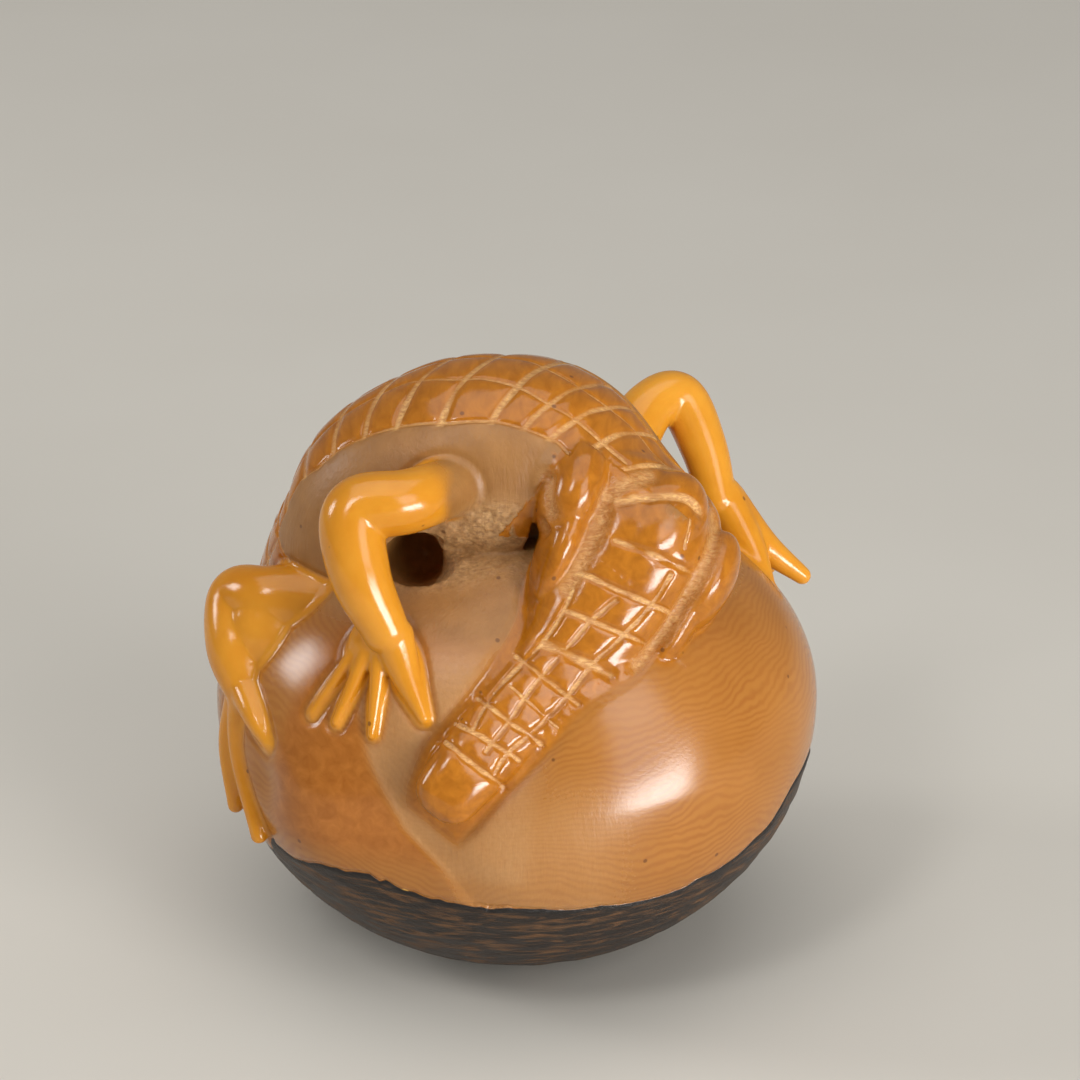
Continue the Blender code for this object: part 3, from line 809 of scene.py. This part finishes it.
class Nodes:
    """Short ways to add and join a material's nodes. Values may be numbers or sockets."""

    def __init__(self, name):
        self.material = bpy.data.materials.new(name)
        self.material.use_nodes = True
        self.tree = self.material.node_tree
        self.shader = self.tree.nodes["Principled BSDF"]
        self.place = self.add("ShaderNodeTexCoord").outputs["Object"]

    def add(self, kind, **settings):
        node = self.tree.nodes.new(kind)
        for name, value in settings.items():
            setattr(node, name, value)
        return node

    def put(self, socket, value):
        if isinstance(value, bpy.types.NodeSocket):
            self.tree.links.new(value, socket)
        else:
            socket.default_value = value

    def mask(self, name):
        return self.add("ShaderNodeAttribute", attribute_name=name).outputs["Fac"]

    def math(self, operation, *values, clamp=False):
        node = self.add("ShaderNodeMath", operation=operation, use_clamp=clamp)
        for socket, value in zip(node.inputs, values):
            self.put(socket, value)
        return node.outputs["Value"]

    def stretch(self, scale, turn=(0, 0, 0), place=None):
        node = self.add("ShaderNodeMapping")
        node.inputs["Scale"].default_value = scale
        node.inputs["Rotation"].default_value = [math.radians(a) for a in turn]
        self.put(node.inputs["Vector"], place or self.place)
        return node.outputs["Vector"]

    def noise(self, size, detail=3.0, place=None, roughness=0.55, distortion=0.0):
        """Cloudy values about 0.5 that change over this many millimetres."""
        node = self.add("ShaderNodeTexNoise")
        node.inputs["Scale"].default_value = 1 / (size * MM)
        node.inputs["Detail"].default_value = detail
        node.inputs["Roughness"].default_value = roughness
        node.inputs["Distortion"].default_value = distortion
        self.put(node.inputs["Vector"], place or self.place)
        return node.outputs["Fac"]

    def span(self, value, low_edge, high_edge, low_out=0.0, high_out=1.0):
        """The value's range turned into another, and kept within it."""
        node = self.add("ShaderNodeMapRange")
        for name, number in zip(("Value", "From Min", "From Max", "To Min", "To Max"),
                                (value, low_edge, high_edge, low_out, high_out)):
            self.put(node.inputs[name], number)
        return node.outputs["Result"]

    def mix(self, share, first, second):
        """Two colours mixed. The colour sockets of this node are its seventh and eighth."""
        node = self.add("ShaderNodeMix", data_type="RGBA")
        self.put(node.inputs[0], share)
        self.put(node.inputs[6], first)
        self.put(node.inputs[7], second)
        return node.outputs[2]

    def blend(self, share, first, second):
        """Two numbers mixed."""
        node = self.add("ShaderNodeMix", data_type="FLOAT")
        self.put(node.inputs[0], share)
        self.put(node.inputs[2], first)
        self.put(node.inputs[3], second)
        return node.outputs[0]

    def specks(self, size, share):
        """Small round specks, one cell in so many showing, each well inside its own cell."""
        node = self.add("ShaderNodeTexVoronoi")
        node.inputs["Scale"].default_value = 1 / (size * MM)
        self.put(node.inputs["Vector"], self.place)
        chosen = self.math("LESS_THAN", self.red_of(node.outputs["Color"]), share)
        return self.math("MULTIPLY", self.span(node.outputs["Distance"], 0.16, 0.10), chosen)

    def red_of(self, colour):
        node = self.add("ShaderNodeSeparateColor")
        self.put(node.inputs["Color"], colour)
        return node.outputs["Red"]

    def bump(self, height, distance, strength=1.0, normal=None):
        node = self.add("ShaderNodeBump")
        node.inputs["Strength"].default_value = strength
        node.inputs["Distance"].default_value = distance * MM
        self.put(node.inputs["Height"], height)
        if normal is not None:
            self.put(node.inputs["Normal"], normal)
        return node.outputs["Normal"]


# The middle of the nut's growth layers, and one layer's thickness.
LAYER_CENTRE = (0.5, 1.5, 27.0)
LAYER = 0.25


def growth_lines(n):
    """The nut's growth layers, 0 to 1, as lines where the carved surface cuts across them."""
    middle = n.add("ShaderNodeVectorMath", operation="SUBTRACT")
    n.put(middle.inputs[0], n.place)
    middle.inputs[1].default_value = [c * MM for c in LAYER_CENTRE]
    shape = n.add("ShaderNodeVectorMath", operation="MULTIPLY")
    n.put(shape.inputs[0], middle.outputs[0])
    shape.inputs[1].default_value = (0.93, 0.98, 1.12)
    depth = n.add("ShaderNodeVectorMath", operation="LENGTH")
    n.put(depth.inputs[0], shape.outputs[0])
    wavy = n.math("MULTIPLY_ADD", n.noise(3.2, 2.0), 0.5 * MM, depth.outputs["Value"])
    wavy = n.math("MULTIPLY_ADD", n.noise(1.1, 1.0), 0.16 * MM, wavy)
    wavy = n.math("MULTIPLY_ADD", n.noise(11.0, 1.0), 3.0 * MM, wavy)
    phase = n.math("MULTIPLY", wavy, 2 * math.pi / (LAYER * MM))
    return n.span(n.math("SINE", phase), -0.6, 1.0)


def tagua():
    """Polished tagua: amber plates, honey limbs, layered nut, matte valleys tinted pale partly by
    painted sheen, pale scores, husk.
    """
    n = Nodes("tagua")
    clouds = n.noise(7.0, 4.0)
    fine = n.noise(0.35, 5.0)
    grain = n.noise(0.9, 3.0, n.stretch((1.0, 0.35, 1.0), (20, 30, 15)), distortion=0.6)
    fibres = n.noise(0.22, 4.0, n.stretch((0.25, 1.0, 1.0), (0, 40, 30)), distortion=0.8)
    lines = growth_lines(n)

    nut_colour = n.mix(clouds, srgb(154, 96, 32), srgb(180, 120, 54))
    line_share = n.math("MULTIPLY", lines, n.span(n.noise(9.0, 2.0), 0.35, 0.65, 0.16, 0.42))
    nut_colour = n.mix(line_share, nut_colour, srgb(138, 74, 24))

    valley = n.mask("valley")
    scratches = n.noise(0.30, 3.0, n.stretch((1.0, 1.0, 0.12), (25, 35, 0)), distortion=0.4)
    # The valleys and the nut below the snout turn a paler pinkish brown: partly the scraped nut's own
    # paler colour, partly a painted sheen of the broad soft light.
    scraped_pale_and_painted_sheen = n.mix(fine, srgb(168, 122, 74), srgb(192, 146, 96))
    scraped_pale_and_sheen_share = n.math("MULTIPLY", valley, n.span(clouds, 0.3, 0.7, 0.45, 0.85))
    colour = n.mix(scraped_pale_and_sheen_share, nut_colour, scraped_pale_and_painted_sheen)

    flank = n.mix(n.noise(2.4, 4.0), srgb(128, 84, 36), srgb(172, 122, 66))
    colour = n.mix(n.mask("flank"), colour, flank)

    bulge = n.mix(n.span(grain, 0.3, 0.75), srgb(152, 88, 24), srgb(176, 108, 40))
    colour = n.mix(n.mask("bulge"), colour, bulge)

    rough = n.mask("rough")
    bed = n.mix(n.span(fine, 0.3, 0.7), srgb(140, 104, 66), srgb(192, 150, 98))
    colour = n.mix(rough, colour, bed)

    amber = n.mask("amber")
    plate = n.mix(n.span(grain, 0.25, 0.75), srgb(154, 90, 14), srgb(184, 114, 28))
    colour = n.mix(amber, colour, plate)

    limb = n.mask("limb")
    honey = n.mix(n.span(clouds, 0.3, 0.7), srgb(198, 126, 20), srgb(216, 148, 44))
    colour = n.mix(limb, colour, honey)

    band = n.mask("band")
    tan = n.mix(n.span(fibres, 0.35, 0.65), srgb(176, 116, 58), srgb(212, 162, 100))
    colour = n.mix(n.math("MULTIPLY", band, n.span(fine, 0.25, 0.6, 0.4, 1.0)), colour, tan)

    score = n.span(n.mask("score"), 0.35, 0.85)
    dust = n.mix(n.span(fibres, 0.4, 0.66), srgb(190, 134, 76), srgb(232, 184, 116))
    colour = n.mix(score, colour, dust)

    rim = n.mask("rim")
    husk = n.span(rim, -0.04, 0.06)
    streaks = n.noise(0.9, 5.0, n.stretch((0.28, 0.28, 1.9)), distortion=0.5)
    shell = n.mix(n.span(streaks, 0.48, 0.66), srgb(28, 17, 10), srgb(98, 66, 36))
    edge = n.span(rim, 0.6, 0.2)
    shell = n.mix(edge, shell, srgb(16, 10, 7))

    flecks = n.math("MULTIPLY", n.specks(2.4, 0.22), n.span(rim, -5.0, -1.5))
    colour = n.mix(flecks, colour, srgb(234, 178, 84))
    dark_specks = n.specks(1.5, 0.08)
    colour = n.mix(n.math("MULTIPLY", dark_specks, 0.7), colour, srgb(92, 52, 24))
    colour = n.mix(husk, colour, shell)

    gloss = n.blend(valley, n.span(fine, 0.3, 0.7, 0.17, 0.23), 0.34)
    gloss = n.math("MULTIPLY_ADD", n.math("MULTIPLY", valley, scratches), 0.18, gloss)
    gloss = n.blend(n.mask("flank"), gloss, 0.42)
    gloss = n.blend(n.mask("bulge"), gloss, 0.22)
    gloss = n.blend(rough, gloss, 0.62)
    gloss = n.blend(amber, gloss, n.span(fine, 0.3, 0.7, 0.10, 0.17))
    gloss = n.blend(limb, gloss, n.span(fine, 0.3, 0.7, 0.12, 0.20))
    gloss = n.blend(band, gloss, 0.5)
    gloss = n.blend(score, gloss, 0.55)
    gloss = n.blend(husk, gloss, n.span(streaks, 0.4, 0.7, 0.38, 0.6))

    coarse = n.math("MAXIMUM", n.math("MAXIMUM", rough, band), n.math("MAXIMUM", score, husk))
    height = n.math("MULTIPLY", fibres, n.blend(coarse, 0.06, 1.0))
    scored = n.math("MAXIMUM", valley, n.mask("flank"))
    height = n.math("MULTIPLY_ADD", n.math("MULTIPLY", scored, scratches), 0.35, height)
    normal = n.bump(height, 0.12)

    n.put(n.shader.inputs["Base Color"], colour)
    n.put(n.shader.inputs["Roughness"], gloss)
    n.put(n.shader.inputs["Normal"], normal)
    n.shader.inputs["IOR"].default_value = 1.5
    n.shader.inputs["Subsurface Weight"].default_value = 0.18
    n.shader.inputs["Subsurface Radius"].default_value = (0.8, 0.45, 0.2)
    n.shader.inputs["Subsurface Scale"].default_value = 1.6 * MM
    return n.material


def floor_material():
    n = Nodes("pale_floor")
    tint = n.mix(n.noise(60.0, 3.0), srgb(204, 199, 189), srgb(212, 208, 199))
    n.put(n.shader.inputs["Base Color"], tint)
    n.shader.inputs["Roughness"].default_value = 0.75
    return n.material


# ------------------------------------------------------------------ floor, light, camera

# These are in metres and degrees: the camera stands where the photo was taken from.
FLOOR_HALF = 1.6
CAMERA_PLACE = (0.001966, -0.355441, 0.205930)
CAMERA_TILT = 64.5
CAMERA_LENS = 156.0
CAMERA_SENSOR = 36.0
ROOM_LIGHT = 0.22
AIM = Vector((0.0, 0.0, 0.026))

# Softboxes: degrees from the front toward the right, degrees up, distance, width, height, watts.
SOFTBOXES = {
    "key": (43.0, 4.6, 0.55, 0.28, 0.13, 2.3),
    "key_above": (40.0, 32.0, 0.60, 0.26, 0.30, 0.8),
    "left": (-96.0, 24.0, 0.50, 0.12, 0.14, 0.55),
    "front_left": (-34.0, 48.0, 0.55, 0.10, 0.14, 0.45),
    "overhead": (0.0, 84.0, 0.80, 0.90, 0.90, 3.2),
}


def toward(azimuth, elevation):
    a, e = math.radians(azimuth), math.radians(elevation)
    return Vector((math.sin(a) * math.cos(e), -math.cos(a) * math.cos(e), math.sin(e)))


def light_scene():
    for name, (azimuth, elevation, distance, width, height, power) in SOFTBOXES.items():
        lamp = bpy.data.lights.new(name, "AREA")
        lamp.shape = "RECTANGLE"
        lamp.size, lamp.size_y, lamp.energy = width, height, power
        holder = bpy.data.objects.new(name, lamp)
        out = toward(azimuth, elevation)
        holder.location = AIM + out * distance
        holder.rotation_euler = out.to_track_quat("Z", "Y").to_euler()
        bpy.context.scene.collection.objects.link(holder)
    world = bpy.data.worlds.new("studio")
    world.use_nodes = True
    world.node_tree.nodes["Background"].inputs["Color"].default_value = (1.0, 0.98, 0.95, 1.0)
    world.node_tree.nodes["Background"].inputs["Strength"].default_value = ROOM_LIGHT
    bpy.context.scene.world = world


def lay_floor():
    corners = np.array([(-1, -1, 0), (1, -1, 0), (1, 1, 0), (-1, 1, 0)], float) * FLOOR_HALF
    floor = mesh_object("floor", corners, np.array([[0, 1, 2, 3]]))
    floor.data.materials.append(floor_material())


def place_camera():
    camera = bpy.data.cameras.new("camera")
    camera.lens = CAMERA_LENS
    camera.sensor_width = CAMERA_SENSOR
    camera.clip_start = 0.01
    holder = bpy.data.objects.new("camera", camera)
    holder.location = CAMERA_PLACE
    holder.rotation_euler = (math.radians(CAMERA_TILT), 0.0, 0.0)
    bpy.context.scene.collection.objects.link(holder)
    bpy.context.scene.camera = holder


carving()
lay_floor()
light_scene()
place_camera()
bpy.context.scene.view_settings.view_transform = "Standard"
